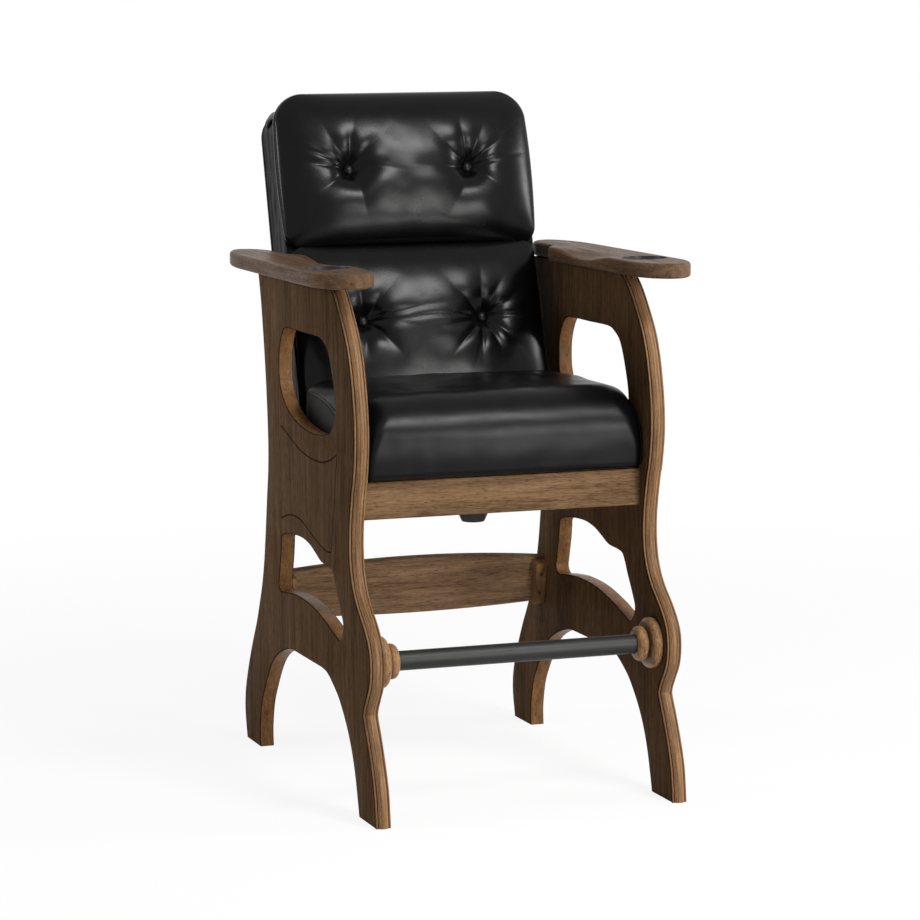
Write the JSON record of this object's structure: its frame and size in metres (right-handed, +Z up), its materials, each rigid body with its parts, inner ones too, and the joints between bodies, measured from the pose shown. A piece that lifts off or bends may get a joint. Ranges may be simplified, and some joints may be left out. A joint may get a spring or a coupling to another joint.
{
  "type": "spectator bar stool",
  "caption": "Tall wooden bar stool with pierced side panels, broad arms with cup wells, a round foot rail, a tilting padded seat and a tufted two-pillow back.",
  "frame": {"origin": "middle of the footprint on the floor, under the middle of the overall box", "axes": "+X to the right as seen from the front, +Y to the rear, +Z up"},
  "size_m": [0.732, 0.8623, 1.2854],
  "materials": {
    "outer_walnut": "satin lacquer over dark walnut",
    "moulding_walnut": "satin lacquer over mid brown walnut",
    "rail_walnut": "satin lacquer over mid brown walnut",
    "arm_walnut": "satin lacquer over grey brown walnut",
    "plywood": "raw",
    "black_leather": "glossy black leather cover over foam",
    "black_steel": "satin black",
    "zinc_steel": "zinc plated",
    "black_plastic": "moulded black"
  },
  "bodies": {
    "frame": {"left_side_panel": "outer_walnut", "right_side_panel": "outer_walnut", "left_front_moulding": "moulding_walnut", "right_front_moulding": "moulding_walnut", "left_arm": "arm_walnut", "right_arm": "arm_walnut", "left_cup_liner": "black_plastic", "right_cup_liner": "black_plastic", "left_rosette": "moulding_walnut", "right_rosette": "moulding_walnut", "foot_rail": "black_steel", "front_apron": "rail_walnut", "lower_stretcher": "rail_walnut", "left_stretcher_cleat": "moulding_walnut", "right_stretcher_cleat": "moulding_walnut", "left_upper_cleat_screw": "zinc_steel", "left_lower_cleat_screw": "zinc_steel", "right_upper_cleat_screw": "zinc_steel", "right_lower_cleat_screw": "zinc_steel", "mechanism_board": "plywood", "left_seat_cleat": "plywood", "right_seat_cleat": "plywood", "base_channel": "zinc_steel", "base_bolt_front_left": "zinc_steel", "base_bolt_front_right": "zinc_steel", "base_bolt_rear_left": "zinc_steel", "base_bolt_rear_right": "zinc_steel", "pivot_pin": "zinc_steel", "tension_spring": "zinc_steel"},
    "seat_unit": {"seat_plate": "zinc_steel", "plate_screw_front_left": "zinc_steel", "plate_screw_front_right": "zinc_steel", "plate_screw_rear_left": "zinc_steel", "plate_screw_rear_right": "zinc_steel", "tension_bolt": "zinc_steel", "seat_board": "plywood", "seat_cushion": "black_leather", "back_core": "black_leather", "back_rear_panel": "black_leather", "upper_back_pillow": "black_leather", "lower_back_pillow": "black_leather", "upper_left_button": "black_leather", "upper_right_button": "black_leather", "lower_left_button": "black_leather", "lower_right_button": "black_leather", "left_back_strap": "zinc_steel", "right_back_strap": "zinc_steel", "left_strap_bolt": "zinc_steel", "right_strap_bolt": "zinc_steel"},
    "knob": {"tension_knob": "black_plastic"}
  },
  "joints": [
    {"name": "seat_tilt", "type": "hinge", "parent": "frame", "child": "seat_unit", "pos_m": [0, -0.0313, 0.566], "axis": [-1, 0, 0], "range_deg": [0, 12], "stiffness_Nm_per_rad": 180, "springref_deg": -22.92, "deforming": ["tension_spring"]},
    {"name": "knob_turn", "type": "hinge", "parent": "seat_unit", "child": "knob", "pos_m": [0, -0.1073, 0.51], "axis": [0, 0, 1], "range_deg": [-540, 540]}
  ]
}
